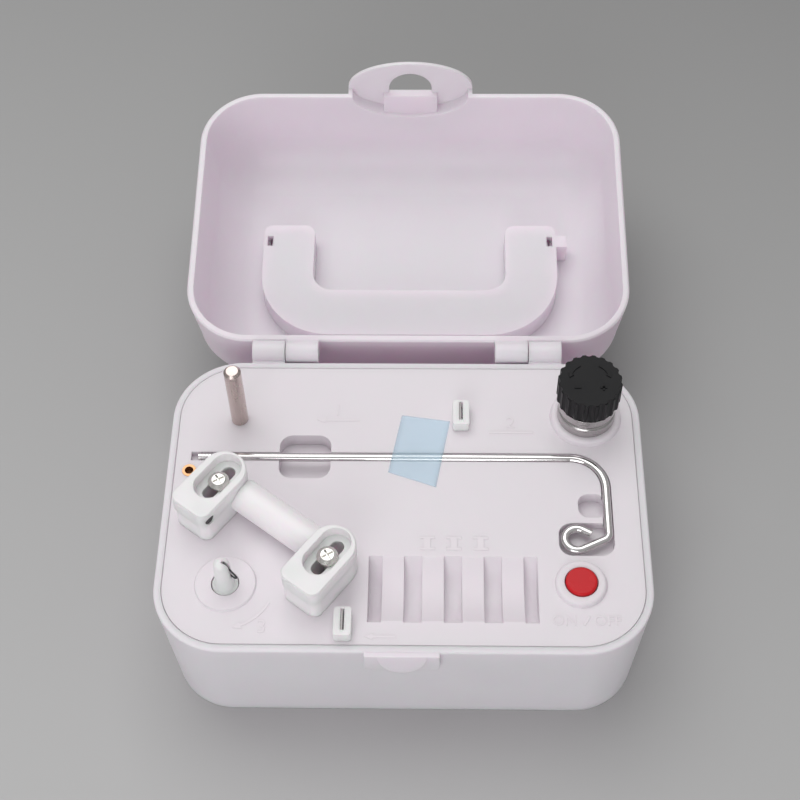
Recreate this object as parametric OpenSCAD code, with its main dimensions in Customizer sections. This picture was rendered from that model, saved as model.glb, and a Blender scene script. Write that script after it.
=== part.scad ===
// Portable electric bobbin winder in a hinged carrying case, lid open.
// X to the right, Y to the back, Z up; origin at the centre of the base underside, on the table.

/* [Case] */
// Width of the case over the rim
case_w = 166; // [156:1:190]
// Depth of the case over the rim
case_d = 116; // [112:1:132]
// Height of the base from the table to the rim
base_h = 50; // [47:1:60]
// Height of the lid from its rim to its flat top
lid_h = 42; // [40:1:52]
// Radius of the upright corners at the rim
corner_r = 24; // [22:0.5:28]
// Wall thickness of the mouldings
wall = 2.4; // [1.8:0.1:2.8]
// How far the base wall leans in between rim and foot
base_draft = 2.6; // [0.5:0.1:3]
// How far the lid wall leans in between rim and rounding
lid_draft = 2; // [0.5:0.1:2.4]
// Rounding along the lid's top edge
lid_round = 21; // [8:0.5:21]
// Width of the rim that shows round the deck
rim_w = 2.6; // [2.2:0.1:3.4]
// Thickness of the deck plate
deck_t = 2.5; // [2:0.1:3.5]
// Thickness of the base pan
pan_t = 3; // [2.6:0.1:4]

/* [Lid hinge and latch] */
// Angle from the open rest to the closed lid
lid_angle = 173.4; // [150:0.1:178]
// Distance of the hinge axis behind the rear face
hinge_back = 4.8; // [4.5:0.1:6]
// Radius of the hinge knuckles
knuckle_r = 4.1; // [3.6:0.1:4.2]
// Width of one hinge knuckle
knuckle_w = 11.9; // [9:0.1:14]
// Distance of the seam between the knuckles from the middle
knuckle_x = 44.3; // [38:0.1:50]
// Diameter of the hinge pins
hinge_pin_d = 3; // [2:0.1:4]
// Half width of the latch flap
flap_a = 25; // [20:0.5:30]
// Reach of the latch flap past the rim
flap_b = 14.6; // [12:0.2:18]
// Height of the latch flap's scoop above the rim
flap_up = 13; // [9:0.5:14]
// Half width of the catch on the base
catch_a = 8.2; // [6:0.1:10]
// Height of the catch on the base
catch_b = 8.2; // [6:0.1:9]

/* [Handle] */
// Width of the handle pocket
pocket_w = 118; // [104:1:119]
// Length of the handle pocket from crossbar to leg ends
pocket_l = 51.5; // [44:0.5:56]
// Width of the pocket's legs and crossbar
pocket_leg = 20.6; // [18:0.1:24]
// Depth of the handle pocket
pocket_t = 10; // [8:0.5:12]
// Distance of the pocket's crossbar edge from the hinge axis
pocket_back = 25; // [22:0.5:30]
// Diameter of the handle's pivot pins
handle_pin_d = 4; // [3:0.1:4]

/* [Deck] */
// Distance of the corner posts from the sides
post_in = 24; // [22:0.5:28]
// Diameter of the spool pin
spool_d = 6; // [5:0.1:7]
// Height of the spool pin above the deck
spool_h = 29; // [20:1:30]
// Diameter of the guide rod
rod_d = 3; // [2.5:0.1:3.4]
// Distance of the guide rod from the rear of the case
rod_back = 40.9; // [39:0.1:42]
// Bend radius of the guide rod
rod_bend = 12; // [8:0.5:12]
// Length of the bobbin storage
store_w = 56.3; // [50:0.1:58]
// Width of the bobbin storage
store_d = 24.7; // [22:0.1:26]
// Depth of the slots for the bobbin flanges
slot_depth = 7.4; // [6:0.1:9]
// Depth of the saddles for the bobbin barrels
saddle_depth = 3.2; // [1.5:0.1:4]
// Bobbins that the storage holds
store_count = 4; // [3:1:5]
// Width of a flange slot between two bobbins
slot_w = 6; // [4.5:0.1:6.4]
// Width of the flange slot at each end of the storage
end_slot_w = 4.5; // [4:0.1:6]
// Width of a thread clip
clip_w = 5.9; // [5:0.1:7]
// Length of a thread clip
clip_d = 10.4; // [8:0.1:11]
// Height of a thread clip
clip_h = 4.5; // [4:0.1:7]
// Width of a thread clip's slot
clip_slot = 1.2; // [1:0.1:2]

/* [Tension] */
// Diameter of the tension knob
knob_d = 22.2; // [18:0.1:23]
// Height of the tension knob
knob_h = 9.9; // [8:0.1:12]
// Flutes round the tension knob
knob_flutes = 20; // [16:1:22]
// Diameter of the tension discs
disc_d = 20.4; // [16:0.1:21]
// Height of one tension disc
disc_h = 4.4; // [3:0.1:5]

/* [Winding] */
// Diameter of the spindle shaft
shaft_d = 4; // [3:0.1:4.4]
// Diameter of the bobbin post at its foot
post_d = 6.6; // [6:0.1:7.4]
// Height of the bobbin post above the deck
post_h = 15.5; // [13:0.5:18]
// Gear module
gear_m = 0.8; // [0.6:0.05:0.9]
// Teeth of the spindle gear
gear_teeth = 36; // [24:12:36]
// Teeth of the motor pinion
pinion_teeth = 12; // [12:2:12]
// Diameter of the motor can
motor_d = 24; // [18:0.5:25]
// Length of the motor can
motor_l = 24; // [18:0.5:24]

/* [Bobbin gauge] */
// Direction in which the gauge slides
gauge_angle = 53; // [45:1:60]
// Distance of the gauge's slots from the spindle
gauge_reach = 24; // [22:0.5:28]
// Distance between the two gauge blocks
gauge_span = 47.6; // [44:0.1:50]
// Width of a gauge block
block_w = 15.8; // [13:0.1:17]
// Length of a gauge block
block_l = 27; // [25:0.5:29]
// Height of a gauge block
block_h = 15.4; // [13:0.1:18]
// Diameter of the bar between the blocks
bar_d = 11.8; // [9:0.1:12]
// Travel of the gauge to each side
gauge_travel = 4.5; // [3:0.1:4.8]

/* [Button] */
// Diameter of the push button
button_d = 10.6; // [9:0.1:12]
// Height of the push button above the deck
button_h = 2.8; // [2.6:0.1:5]

/* [Fits] */
// Radial clearance of a shaft in its bore
run_gap = 0.05; // [0.02:0.01:0.1]
// Gap between pieces that move past each other
side_gap = 0.3; // [0.2:0.05:0.5]
// Seam between the deck and the rim
seam = 0.15; // [0.1:0.05:0.3]

/* [Hidden] */
$fn = 64;
eps = 0.01;

// Places on the deck
left = -case_w / 2;
right = case_w / 2;
front = -case_d / 2;
back = case_d / 2;
spool_at = [left + post_in, back - post_in - 1];
spindle_at = [left + post_in, front + post_in + 0.5];
button_at = [right - post_in, front + post_in + 1.3];
knob_at = [right - 19.25, back - 23.8];
rod_y = back - rod_back;
rod_z = base_h - 0.6;
rod_x0 = left + 10.5;
rod_leg_x = right - 13.6;
insert_at = [left + 7.8, rod_y - 6];
store_x = 16.65;
store_x0 = store_x - store_w / 2;
store_y = front + 10.9 + store_d / 2;
// middle of each thread clip's front face
clip_at = [[19.6, back - 29.9], [spindle_at[0] + 39.6, front + 3.9]];

// Case
deck_in = rim_w + seam;
deck_r = corner_r - deck_in;
deck_z = base_h - deck_t;
ledge = 1.6;
lid_edge = min(lid_round, corner_r - lid_draft - 0.8);
rim_gap = 0.2;
hinge_y = back + hinge_back;
boss_r = 3.4;
screw_r = 1.3;
pan_boss_in = base_draft + wall + ledge + boss_r + side_gap;
pan_boss = [[-30, front + pan_boss_in], [30, front + pan_boss_in],
    [-45, back - pan_boss_in], [45, back - pan_boss_in]];
pan_in = base_draft + wall + seam;

// Handle, in the closed lid's frame with z from the rim
pocket_y1 = hinge_y - pocket_back;
pocket_y0 = pocket_y1 - pocket_l;
pocket_r = 28;
handle_gap = 0.7;
handle_in = wall + handle_gap;
pocket_end_r = handle_in + 0.5;
pin_blind = 0.4;
pivot_notch = [2.2, 4.6];
pivot_tab = [4.2, 5.4];
handle_t = pocket_t - 1;
handle_top = lid_h - 0.3;
handle_axis_z = handle_top - handle_t / 2;
handle_axis_y = pocket_y0 + handle_in + handle_t / 2;

// Latch
flap_gap = 2.1;
flap_t = 1.4;
flap_wall = 1.8;
catch_gap = 0.4;
catch_ledge = [24.6, 9.8, 1.5];
ledge_round = 3;
catch_top = 0.3;
catch_proud = 3.2;
hole_top = 2.5;
tongue_w = 21.8;
tongue_top = flap_up - 0.6;

// Guide rod eye
eye_bend = 2.8;
eye_run = 8.2;
eye_r = 4.2;
eye_turn = 235;
eye_tail = 3.3;
corner_turn = 64;
rod_end_y = front + 42.3;
rod_clear = 0.25;

// Storage
rib_w = (store_w - 2 * end_slot_w - (store_count - 1) * slot_w) / store_count;
chord = store_d / 2;
slot_r = (chord * chord + slot_depth * slot_depth) / (2 * slot_depth);
saddle_chord = chord - 0.5;
saddle_r = (saddle_chord * saddle_chord + saddle_depth * saddle_depth) / (2 * saddle_depth);
tub = 1.8;
function slot_x(i) = i == 0 ? store_x0 : i == store_count ? store_x0 + store_w - end_slot_w
    : store_x0 + end_slot_w + rib_w + (i - 1) * (slot_w + rib_w);
function slot_len(i) = i == 0 || i == store_count ? end_slot_w : slot_w;

// Drive
gear_z = base_h - 14;
gear_t = 5;
gear_r = gear_m * gear_teeth / 2;
pinion_r = gear_m * pinion_teeth / 2;
mesh_gap = 0.1;
motor_at = spindle_at + [gear_r + pinion_r + mesh_gap, 0];
plate_t = 2;
plate_z = gear_z - 4 - plate_t;
plate_boss = [spindle_at + [-3, 21], spindle_at + [17, -15.5], spindle_at + [34, -5.5]];
plate_boss_r = 3;
motor_shaft_r = 1;
motor_nose_r = 3;
motor_screw_r = 1.2;
motor_screw_x = 8;
bush_r = 4.6;
bush_l = 7;
low_bush_r = 3.6;
disc_boss_r = 10.4;
disc_boss_h = 0.8;
spindle_hole_r = 4.7;
post_flange_r = spindle_hole_r - side_gap;
shaft_up = post_h - 9.9;
spring_side = -15;
spring_slit = 1;
spring_wire_r = 0.3;

// Bobbin gauge, in its own frame with x along its travel
gauge_side = -1.2;
block_x0 = -16.3;
block_x1 = block_x0 + block_l;
block_corner = 3.5;
gauge_lift = 0.1;
seam_z = 9.2;
seam_in = 0.35;
slot_half = gauge_travel + 0.5;
gauge_slot_r = 2.3;
recess_r = 5.2;
recess_t = 4.4;
gauge_screw_r = 1.9;
gauge_head = [3.6, 2.2];
bar_x = 3.2;
bar_z = gauge_lift + side_gap + bar_d / 2;
eye_at = [-12.9, 11.4];
eye_hole_r = 1.9;
eye_in = 0.6;
gauge_screw_l = 8;

// Tension
collar_r = 12.6;
collar_h = 2.6;
stud_r = 2;
stud_in = 6;
low_disc_z = collar_h;
high_disc_z = low_disc_z + disc_h + side_gap;
knob_z = high_disc_z + disc_h + 1;
stud_h = knob_z + knob_h - 3.2;
flute_r = 1.5;
flute_out = 0.7;
knob_well_r = 7.6;
knob_well_h = 2.4;
washer_t = 1.2;
sheet = 0.8;

// Button and board
button_ring_r = 8.7;
button_ring_h = 1.8;
button_flange_r = button_d / 2 + 1.2;
button_travel = 1.8;
button_deep = deck_t + 1.3;
board_z = base_h - 16;
board_t = 1.6;
board_size = [30, 24];
board_boss = [[-11, 8], [11, -8]];
board_boss_r = 2.6;
board_screw_r = 1;
plunger_r = 1.8;
switch_size = [6, 6, 4];

// Battery
cell_r = 7.2;
cell_l = 50.5;
cell_count = 4;
cell_pitch = 15;
cell_z = pan_t + cell_r + 0.4;
bay_at = [31, -2];
bay_size = [cell_l + 7, cell_count * cell_pitch + 1];
bay_wall = 1.6;
bay_h = 12;
door_in = 1.4;
door_t = 2;
door_travel = 4;
tongue_z = 0.8;
tongue_t = 0.8;
tongue_out = 1.2;

// DC inlet
inlet_at = [20, 22];
inlet_r = 4.2;
inlet_bore_r = 2.8;
inlet_pin_r = 1;
inlet_l = 11;

// Shared shapes

function arc_points(c, r, a0, a1, n) = [for (i = [0 : n]) let (a = a0 + (a1 - a0) * i / n)
    c + r * [cos(a), sin(a)]];

function oval_points(a, b_up, b_down, n) =
    [for (i = [0 : n - 1]) let (t = 360 * i / n) [a * cos(t), (t < 180 ? b_up : b_down) * sin(t)]];

module rounded_rect(w, d, r) {
    square([w - 2 * r, d], center = true);
    square([w, d - 2 * r], center = true);
    for (x = [-1, 1], y = [-1, 1]) translate([x * (w / 2 - r), y * (d / 2 - r)]) circle(r);
}

// Sweeps a wall section round a rounded rectangle: x of the section is outward from the outline
module ring_sweep(w, d, r) {
    for (q = [0 : 3]) {
        long = q % 2 == 0 ? d : w;
        across = q % 2 == 0 ? w : d;
        rotate([0, 0, 90 * q]) {
            translate([across / 2, (long - 2 * r) / 2, 0]) rotate([90, 0, 0])
                linear_extrude(long - 2 * r) children();
            translate([across / 2 - r, long / 2 - r, 0]) rotate_extrude(angle = 90)
                translate([r, 0]) children();
        }
    }
}

module rod(r, h) {
    cylinder(r = r, h = h);
}

// A slab with round ends, along x
module stadium(half, r, h) {
    linear_extrude(h) {
        square([2 * half, 2 * r], center = true);
        for (x = [-half, half]) translate([x, 0]) circle(r);
    }
}

// A bent wire in one plane: each step is [length] or [bend radius, turn], a positive turn is to the right
module wire(r, steps, i = 0) {
    if (i < len(steps)) {
        s = steps[i];
        // a thin collar over each joint makes the lengths one piece
        gap = r / 15;
        if (i > 0) translate([-r / 9, 0, 0]) rotate([0, 90, 0]) cylinder(r = r * 1.02, h = r * 2 / 9);
        if (len(s) == 1) {
            translate([gap, 0, 0]) rotate([0, 90, 0]) cylinder(r = r, h = s[0] - 2 * gap);
            translate([s[0], 0, 0]) wire(r, steps, i + 1);
        } else {
            left_hand = s[1] < 0;
            turn = abs(s[1]);
            c = left_hand ? s[0] : -s[0];
            translate([0, c, 0]) rotate([0, 0, left_hand ? -90 : 90 - turn])
                rotate_extrude(angle = turn) translate([s[0], 0]) circle(r);
            translate([0, c, 0]) rotate([0, 0, -s[1]]) translate([0, -c, 0]) wire(r, steps, i + 1);
        }
    }
}

module on_deck(at) {
    translate([at[0], at[1], base_h]) children();
}

// A hollow boss hanging under the deck
module under_boss(at, r, len) {
    translate([at[0], at[1], deck_z - len]) cylinder(r = r, h = len + eps);
}

// A pan-head screw with its head's seat at z = 0, pointing down
module pan_screw(head_r, head_h, shank_r, len) {
    difference() {
        union() {
            cylinder(r = head_r, h = head_h * 0.55);
            translate([0, 0, head_h * 0.55]) cylinder(r1 = head_r, r2 = head_r * 0.62, h = head_h * 0.45);
            translate([0, 0, -len]) cylinder(r = shank_r, h = len + eps);
        }
        for (a = [0, 90]) rotate([0, 0, a]) translate([-head_r * 0.55, -head_r * 0.09, head_h * 0.5])
            cube([head_r * 1.1, head_r * 0.18, head_h]);
    }
}

// Case

function base_out(z) = -base_draft * (base_h - z) / base_h;

module base_profile() {
    z_ledge = deck_z - 1.5;
    z_low = pan_t + 1.5;
    edge = 0.7;
    polygon(concat(
        [[base_out(0), 0]],
        arc_points([-edge, base_h - edge], edge, 0, 90, 4),
        [[-rim_w, base_h], [-rim_w, deck_z], [-rim_w - ledge, deck_z], [-rim_w - ledge, z_ledge],
         [base_out(z_ledge - ledge) - wall, z_ledge - ledge], [base_out(z_low + ledge) - wall, z_low + ledge],
         [-base_draft - wall - ledge, z_low], [-base_draft - wall - ledge, pan_t],
         [-base_draft - wall, pan_t], [-base_draft - wall, 0]]));
}

// One hinge arm with its knuckle, x from its inner end; side is 1 above the rim plane, -1 below
module knuckle(side) {
    arm = 9;
    difference() {
        union() {
            translate([0, hinge_y, base_h]) rotate([0, 90, 0]) cylinder(r = knuckle_r, h = knuckle_w);
            translate([0, back - 1.2, base_h + (side > 0 ? rim_gap : -arm)])
                cube([knuckle_w, hinge_back + 1.2, arm - rim_gap]);
        }
        translate([-1, hinge_y, base_h]) rotate([0, 90, 0])
            cylinder(r = hinge_pin_d / 2 + (side > 0 ? run_gap : 0), h = knuckle_w + 2);
        // the arm is cut back under the knuckle's round
        translate([-1, hinge_y, base_h + side * (knuckle_r + arm / 2)]) rotate([0, 90, 0])
            cylinder(r = arm / 2 + 0.3, h = knuckle_w + 2);
    }
}

// Wedge on the front wall that the lid's flap snaps over
module catch() {
    translate([0, front, base_h - catch_top]) {
        intersection() {
            rotate([90, 0, 0]) linear_extrude(2 * catch_proud, center = true) intersection() {
                polygon(oval_points(catch_a, catch_b, catch_b, 48));
                translate([-catch_a, -catch_b]) square([2 * catch_a, catch_b]);
            }
            rotate([90, 0, 90]) linear_extrude(2 * catch_a, center = true)
                polygon([[1, 0], [-catch_ledge[2], 0], [-catch_proud, -catch_b], [1, -catch_b]]);
        }
        rotate([90, 0, 0]) linear_extrude(catch_ledge[2]) {
            half = catch_ledge[0] / 2;
            mid = [half - ledge_round, ledge_round - catch_ledge[1]];
            polygon(concat([[-half, 0], [half, 0]], arc_points(mid, ledge_round, 0, -90, 8),
                arc_points([-mid[0], mid[1]], ledge_round, -90, -180, 8)));
        }
        translate([-catch_ledge[0] / 2, -0.2, ledge_round - catch_ledge[1]])
            cube([catch_ledge[0], 1, catch_ledge[1] - ledge_round]);
    }
}

module base_shell() {
    color([0.90, 0.87, 0.91]) difference() {
        union() {
            ring_sweep(case_w, case_d, corner_r) base_profile();
            for (m = [0, 1]) mirror([m, 0, 0]) translate([knuckle_x + side_gap / 2, 0, 0]) knuckle(-1);
            catch();
        }
        translate([inlet_at[0], back - 6, inlet_at[1]]) rotate([-90, 0, 0]) cylinder(r = inlet_r, h = 12);
    }
}

module rod_channel(width, z0, z1) {
    bend_x = rod_leg_x - rod_bend;
    leg_y1 = rod_y - rod_bend;
    translate([rod_x0 - 2.5, rod_y - width / 2, z0]) cube([bend_x - rod_x0 + 2.5, width, z1 - z0]);
    translate([bend_x, leg_y1, 0]) rotate_extrude(angle = 90)
        translate([rod_bend - width / 2, z0]) square([width, z1 - z0]);
    translate([rod_leg_x - width / 2, rod_end_y - 2, z0]) cube([width, leg_y1 - rod_end_y + 2, z1 - z0]);
}

// Finger pocket, thumb notch and the eye's pocket: centre, size, corner, depth
deck_pockets = [
    [[-35, rod_y], [18, 17.7], 4.5, 6],
    [[rod_leg_x - 5.2, rod_y - 19.4], [9.4, 9.2], 3.5, 5],
    [[rod_leg_x - 7.7, rod_end_y + 0.2], [18.6, 12.6], 4.5, 3.6]];

module deck_pocket(p, grow, drop) {
    translate([p[0][0], p[0][1], base_h - p[3] - drop])
        linear_extrude(p[3] + drop + (grow > 0 ? -eps : 1))
            rounded_rect(p[1][0] + 2 * grow, p[1][1] + 2 * grow, p[2] + grow);
}

module deck_cut_floor(r, depth, x0, w) {
    translate([x0, store_y, base_h + r - depth]) rotate([0, 90, 0]) cylinder(r = r, h = w, $fn = 128);
}

module deck_plate() {
    color([0.88, 0.85, 0.88]) difference() {
        union() {
            translate([0, 0, deck_z]) linear_extrude(deck_t)
                rounded_rect(case_w - 2 * deck_in, case_d - 2 * deck_in, deck_r);
            for (p = deck_pockets) deck_pocket(p, tub, tub);
            translate([store_x0 - tub, store_y - store_d / 2 - tub, base_h - slot_depth - tub])
                cube([store_w + 2 * tub, store_d + 2 * tub, slot_depth + tub - eps]);
            rod_channel(rod_d + 2 * tub + 1, rod_z - rod_d / 2 - rod_clear - tub, base_h - eps);
            // raised rings round spindle, button and tension unit
            on_deck(spindle_at) cylinder(r1 = disc_boss_r, r2 = disc_boss_r - 0.4, h = disc_boss_h);
            on_deck(button_at) rotate_extrude() polygon(concat(
                [[0, -1], [button_ring_r, -1], [button_ring_r, 0]],
                arc_points([button_ring_r - 1.4, button_ring_h - 1.2], 1.2, 0, 90, 6), [[0, button_ring_h]]));
            on_deck(knob_at) rotate_extrude() polygon(concat([[0, -1], [collar_r, -1], [collar_r, 0]],
                arc_points([collar_r - 1.6, collar_h - 1.6], 1.4, 0, 90, 6), [[0, collar_h - 0.2]]));
            // bosses under the deck
            for (p = pan_boss) under_boss(p, boss_r, deck_z - pan_t);
            for (p = plate_boss) under_boss(p, plate_boss_r, deck_z - plate_z - plate_t);
            for (p = gauge_screw_places) under_boss(p, 4, gauge_screw_l + 1.5);
            for (p = board_boss) under_boss(button_at + p, board_boss_r, deck_z - board_z - board_t);
            under_boss(spindle_at, bush_r + tub, bush_l - deck_t);
            under_boss(spool_at, spool_d / 2 + 2.5, 8);
            under_boss(knob_at, stud_r + 2.5, stud_in);
            under_boss(insert_at, 3.4, 6);
        }
        for (p = deck_pockets) deck_pocket(p, 0, 0);
        rod_channel(rod_d + 2 * rod_clear, rod_z - rod_d / 2 - rod_clear, base_h + 1);
        for (i = [0 : store_count]) deck_cut_floor(slot_r, slot_depth, slot_x(i), slot_len(i));
        deck_cut_floor(saddle_r, saddle_depth, store_x0, store_w);
        on_deck(spindle_at) {
            translate([0, 0, -bush_l - 1]) cylinder(r = bush_r, h = bush_l - 1);
            translate([0, 0, -3]) cylinder(r = spindle_hole_r, h = 6);
        }
        on_deck(button_at) {
            translate([0, 0, -deck_t - 1]) cylinder(r = button_d / 2 + side_gap, h = 8);
        }
        on_deck(spool_at) translate([0, 0, -8]) rod(spool_d / 2 - 0.5, 12);
        on_deck(knob_at) translate([0, 0, -stud_in]) rod(stud_r, 12);
        on_deck(insert_at) translate([0, 0, -7]) rod(2.4, 12);
        for (p = gauge_screw_places) on_deck(p) translate([0, 0, -gauge_screw_l]) rod(gauge_screw_r, 12);
        for (p = pan_boss) translate([p[0], p[1], pan_t - 1]) rod(screw_r, 13);
        for (p = plate_boss) translate([p[0], p[1], plate_z]) rod(screw_r, 10);
        for (p = board_boss) translate([button_at[0] + p[0], button_at[1] + p[1], board_z])
            rod(board_screw_r, 9);
        for (p = clip_at) on_deck(p) translate([0, clip_d / 2, -clip_foot[1] - 1])
            rod(clip_foot[0], clip_foot[1] + 3);
    }
}

// Base pan with the battery bay's walls

module bay_box(grow, z0, h) {
    translate([bay_at[0] - bay_size[0] / 2 - grow, bay_at[1] - bay_size[1] / 2 - grow, z0])
        cube([bay_size[0] + 2 * grow, bay_size[1] + 2 * grow, h]);
}

pad_at = [for (x = [-1, 1], y = [-1, 1]) [x * (right - 20), y * (back - 17)]];
pad_r = 5;
pad_t = 1.2;

module base_pan() {
    color([0.86, 0.83, 0.87]) difference() {
        union() {
            linear_extrude(pan_t) rounded_rect(case_w - 2 * pan_in, case_d - 2 * pan_in, corner_r - pan_in);
            bay_box(bay_wall, pan_t - eps, bay_h);
        }
        bay_box(0, pan_t, bay_h + 2);
        // opening for the door, with room for its travel, and the grooves its tongues run in
        bay_box(-door_in, -1, pan_t + 2);
        translate([bay_at[0] + bay_size[0] / 2 - door_in - 1, bay_at[1] - bay_size[1] / 2 + door_in, -1])
            cube([door_travel + 1, bay_size[1] - 2 * door_in, 1 + door_t + side_gap]);
        translate([bay_at[0] - bay_size[0] / 2 + door_in,
                   bay_at[1] - bay_size[1] / 2 + door_in - tongue_out - side_gap,
                   tongue_z - side_gap])
            cube([bay_size[0] - 2 * door_in + door_travel,
                  bay_size[1] - 2 * door_in + 2 * (tongue_out + side_gap),
                  tongue_t + 2 * side_gap]);
        for (p = pan_boss) translate([p[0], p[1], -1]) {
            rod(screw_r + 0.3, pan_t + 2);
            cylinder(r = 2.7, h = 2.6);
        }
        for (p = pad_at) translate([p[0], p[1], -1]) cylinder(r = pad_r + 0.1, h = 1 + pad_t);
    }
}

module pan_screws() {
    color("silver") for (p = pan_boss) translate([p[0], p[1], 1.6]) rotate([180, 0, 0])
        pan_screw(2.4, 1.5, screw_r, 10);
}

module grip_pads() {
    color([0.35, 0.34, 0.36]) for (p = pad_at) translate([p[0], p[1], 0]) cylinder(r = pad_r, h = pad_t);
}

// Lid, drawn closed over the base and then swung open

module open_lid() {
    translate([0, hinge_y, base_h]) rotate([-lid_angle, 0, 0]) translate([0, -hinge_y, -base_h]) children();
}

// The outside of the lid's wall and rounding, inset by t
module lid_section(t) {
    x_in = -lid_draft - lid_edge;
    z_round = lid_h - lid_edge;
    edge = t > 0 ? 0 : 0.6;
    polygon(concat([[x_in, t > 0 ? -1 : rim_gap]],
        [[-t - edge, t > 0 ? -1 : rim_gap], [-t, t > 0 ? 0 : rim_gap + edge],
         [-lid_draft - t, z_round], [x_in, z_round]]));
    intersection() {
        translate([x_in, z_round]) circle(lid_edge - t, $fn = 128);
        translate([x_in, z_round - eps]) square([lid_edge, lid_edge + eps]);
    }
}

module lid_wall_section() {
    difference() {
        lid_section(0);
        lid_section(wall);
    }
}

// The handle's U, inset by t, in the closed lid's plan
module pocket_plan(t) {
    w = pocket_w - 2 * t;
    leg = pocket_leg - 2 * t;
    y1 = pocket_y1 - t;
    y0 = pocket_y0 + t;
    r_out = pocket_r - t;
    r_in = 8 + t;
    r_end = pocket_end_r - t;
    difference() {
        union() {
            translate([0, (y0 + y1) / 2]) intersection() {
                rounded_rect(w, y1 - y0, r_end);
                union() {
                    translate([-w / 2, (y0 - y1) / 2]) square([w, y1 - y0 - r_out]);
                    translate([-w / 2 + r_out, (y1 - y0) / 2 - r_out - eps])
                        square([w - 2 * r_out, r_out + eps]);
                    for (x = [-1, 1]) translate([x * (w / 2 - r_out), (y1 - y0) / 2 - r_out]) circle(r_out);
                }
            }
        }
        translate([0, y1 - leg]) {
            translate([-w / 2 + leg, -pocket_l]) square([w - 2 * leg, pocket_l - r_in]);
            translate([-w / 2 + leg + r_in, -r_in - eps]) square([w - 2 * leg - 2 * r_in, r_in + eps]);
            for (x = [-1, 1]) translate([x * (w / 2 - leg - r_in), -r_in]) circle(r_in);
        }
        // inner corners of the leg ends
        for (m = [0, 1]) mirror([m, 0]) translate([w / 2 - leg, y0]) difference() {
            translate([-1, -1]) square(r_end + 1);
            translate([r_end, r_end]) circle(r_end);
        }
    }
}

// The oval of the latch flap: cut is the inside of its scoop
module flap_plan(t) {
    polygon(oval_points(flap_a - t, flap_up - t, flap_b - t, 72));
}

module upright(y, h) {
    translate([0, y, base_h]) rotate([90, 0, 0]) linear_extrude(h) children();
}

module latch_flap() {
    upright(front - flap_gap, flap_t) flap_plan(0);
    // scoop wall round the half that lies on the lid
    upright(front + wall, flap_gap + wall + flap_t) intersection() {
        difference() {
            flap_plan(0);
            flap_plan(flap_wall);
        }
        translate([-flap_a, rim_gap]) square([2 * flap_a, flap_up]);
    }
    // tongue that closes the gap over the catch
    translate([0, front, base_h]) rotate([90, 0, 90]) linear_extrude(tongue_w, center = true)
        polygon([[-flap_gap - eps, hole_top], [-0.1, hole_top],
            [wall, tongue_top], [-flap_gap - eps, tongue_top]]);
}

module closed_lid() {
    difference() {
        union() {
            difference() {
                translate([0, 0, base_h]) {
                    ring_sweep(case_w, case_d, corner_r) lid_wall_section();
                    translate([0, 0, lid_h - wall]) linear_extrude(wall)
                        rounded_rect(case_w - 2 * (lid_draft + lid_edge), case_d - 2 * (lid_draft + lid_edge),
                                     corner_r - lid_draft - lid_edge);
                }
                // the front wall opens into the scoop
                upright(front + 2 * wall, 2 * wall + 0.5) intersection() {
                    flap_plan(flap_wall);
                    translate([-flap_a, -1]) square([2 * flap_a, flap_up + 1]);
                }
            }
            latch_flap();
            // handle pocket, kept inside the lid's outer face
            intersection() {
                translate([0, 0, base_h + lid_h - pocket_t - wall])
                    linear_extrude(pocket_t + wall) pocket_plan(0);
                translate([0, 0, base_h]) {
                    ring_sweep(case_w, case_d, corner_r) lid_section(0);
                    linear_extrude(lid_h) rounded_rect(case_w - 2 * (lid_draft + lid_edge),
                        case_d - 2 * (lid_draft + lid_edge), corner_r - lid_draft - lid_edge);
                }
            }
            for (m = [0, 1]) mirror([m, 0, 0])
                translate([knuckle_x - knuckle_w - side_gap / 2, 0, 0]) knuckle(1);
            // tab beside the right pivot
            translate([pocket_w / 2 - eps, handle_axis_y - pivot_tab[1] / 2,
                       base_h + lid_h - pocket_t - wall])
                cube([pivot_tab[0] + eps, pivot_tab[1], pocket_t + 0.5]);
        }
        translate([0, 0, base_h + lid_h - pocket_t]) linear_extrude(pocket_t + 1) pocket_plan(wall);
        // hole in the flap for the catch
        upright(front - flap_gap + 0.5, flap_t + 1) {
            half = catch_a + catch_gap;
            deep = catch_b + catch_top + catch_gap;
            polygon(concat([for (i = [0 : 24]) let (t = 180 + 7.5 * i) [half * cos(t), deep * sin(t)]],
                [[half, hole_top], [-half, hole_top]]));
        }
        for (m = [0, 1]) mirror([m, 0, 0]) {
            // pivot holes, blind to the outside
            translate([pocket_w / 2 - wall - 4, handle_axis_y, base_h + handle_axis_z]) rotate([0, 90, 0])
                cylinder(r = handle_pin_d / 2, h = wall + 4 - pin_blind);
            // square notches through the pocket's floor at the pivots
            translate([pocket_w / 2 - wall - 1.4, handle_axis_y - pivot_notch[1] / 2,
                base_h + lid_h - pocket_t - wall - 1]) cube([pivot_notch[0], pivot_notch[1], wall + 2.5]);
        }
    }
}

module lid_shell() {
    color([0.90, 0.87, 0.91]) open_lid() closed_lid();
}

module hinge_pins() {
    color("silver") for (m = [0, 1]) mirror([m, 0, 0])
        translate([knuckle_x - knuckle_w + 0.6, hinge_y, base_h]) rotate([0, 90, 0])
            rod(hinge_pin_d / 2, 2 * knuckle_w - 1.2);
}

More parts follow.
